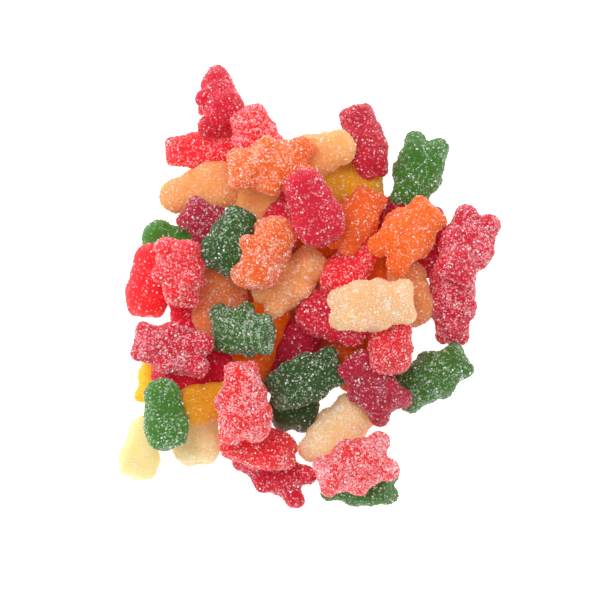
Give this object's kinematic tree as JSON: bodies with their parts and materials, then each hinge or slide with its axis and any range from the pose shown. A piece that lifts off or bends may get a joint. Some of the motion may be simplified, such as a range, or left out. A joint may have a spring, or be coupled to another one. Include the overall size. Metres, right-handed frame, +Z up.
{
  "type": "gummy bears",
  "caption": "Loose heap of sugared jelly bears lying on a flat surface, to garnish, fill or set out.",
  "frame": {"origin": "on the surface the heap lies on, below the middle of its outline", "axes": "+Z up out of the surface, +Y along the heap's longer side, +X across it"},
  "size_m": [0.1063, 0.1231, 0.0311],
  "materials": {
    "sugared_jelly": "soft translucent jelly under a crust of fine sugar, satin"
  },
  "bodies": {
    "root": {"gummy_bear_heap": "sugared_jelly"}
  },
  "joints": []
}
